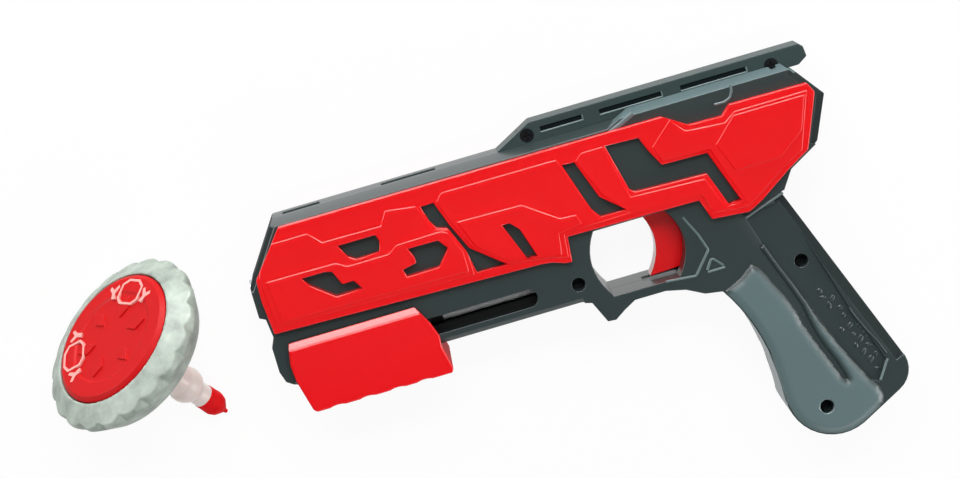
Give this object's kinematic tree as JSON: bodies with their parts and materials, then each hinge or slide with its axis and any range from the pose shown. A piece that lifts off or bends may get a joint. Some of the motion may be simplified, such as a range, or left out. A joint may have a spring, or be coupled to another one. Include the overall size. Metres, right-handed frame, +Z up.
{
  "type": "spinning top launcher",
  "caption": "Pump-action pistol-grip launcher for a spinning top, with its lobed top lying beside the nose.",
  "frame": {"origin": "centre of the launch socket's mouth at the nose", "axes": "+X from the nose to the rear along the launch axis, +Y from the grip to the sight rail, +Z up out of the left side; the launcher lies on its right side"},
  "size_m": [0.2896, 0.135, 0.0575],
  "materials": {
    "shell_grey": "dark slate satin moulding",
    "cover_red": "glossy red moulding",
    "pump_red": "glossy red moulding",
    "rail_grey": "dark grey satin moulding",
    "nylon": "black slippery moulding",
    "acetal": "natural white moulding",
    "steel": "drawn and zinc plated",
    "bronze": "sintered",
    "ring_silver": "silver coloured translucent moulding",
    "milky": "milky translucent moulding"
  },
  "bodies": {
    "body": {"left_shell": "shell_grey", "right_shell": "shell_grey", "left_cover": "cover_red", "right_cover": "cover_red", "sight_rail": "rail_grey", "shell_screws": "steel", "rail_screws": "steel", "front_bush": "bronze", "rear_bush": "bronze", "guide_rod": "steel", "wheel_axle": "steel", "crown_axle": "steel", "trigger_pin": "steel", "return_spring": "steel", "trigger_spring": "steel"},
    "pump": {"pump_left": "pump_red", "pump_right": "pump_red", "pump_screws": "steel", "carriage_rack": "nylon"},
    "drive": {"drive_wheel": "acetal"},
    "crown": {"crown_wheel": "acetal"},
    "launch_spindle": {"spindle": "nylon", "spindle_pinion": "bronze", "spindle_ring": "steel"},
    "trigger": {"trigger": "pump_red"},
    "ejector": {"ejector_rod": "steel"},
    "top": {"top_ring": "ring_silver", "top_cap": "cover_red", "top_weight": "steel", "top_stem": "milky", "top_tip": "pump_red", "top_screws": "steel"}
  },
  "joints": [
    {"name": "pump_pull", "type": "slide", "parent": "body", "child": "pump", "axis": [1, 0, 0], "range_m": [0, 0.034], "stiffness_N_per_m": 60, "springref_m": -0.02, "deforming": ["return_spring"]},
    {"name": "drive_spin", "type": "hinge", "parent": "body", "child": "drive", "pos_m": [0.06023, -0.0045, 0], "axis": [0, 0, 1], "continuous": true},
    {"name": "crown_spin", "type": "hinge", "parent": "body", "child": "crown", "pos_m": [0.0387, 0, 0], "axis": [0, 0, 1], "continuous": true},
    {"name": "spindle_spin", "type": "hinge", "parent": "body", "child": "launch_spindle", "pos_m": [0, 0, 0], "axis": [1, 0, 0], "continuous": true},
    {"name": "trigger_pull", "type": "hinge", "parent": "body", "child": "trigger", "pos_m": [0.13761, -0.0063, 0], "axis": [0, 0, 1], "range_deg": [0, 20], "stiffness_Nm_per_rad": 0.1, "springref_deg": -20.05, "deforming": ["trigger_spring"]},
    {"name": "ejector_push", "type": "slide", "parent": "body", "child": "ejector", "axis": [-1, 0, 0], "range_m": [0, 0.0022]},
    {"name": "top_spin", "type": "hinge", "parent": "body", "child": "top", "pos_m": [-0.0229, -0.04038, -0.01912], "axis": [-0.4578, 0.7187, 0.5234], "continuous": true}
  ],
  "couplings": [
    {"joint": "drive_spin", "follows": "pump_pull", "rad_per_m": 125},
    {"joint": "crown_spin", "follows": "pump_pull", "rad_per_m": -333.33},
    {"joint": "spindle_spin", "follows": "pump_pull", "rad_per_m": 1000},
    {"joint": "ejector_push", "follows": "trigger_pull", "m_per_rad": 0.0063}
  ]
}
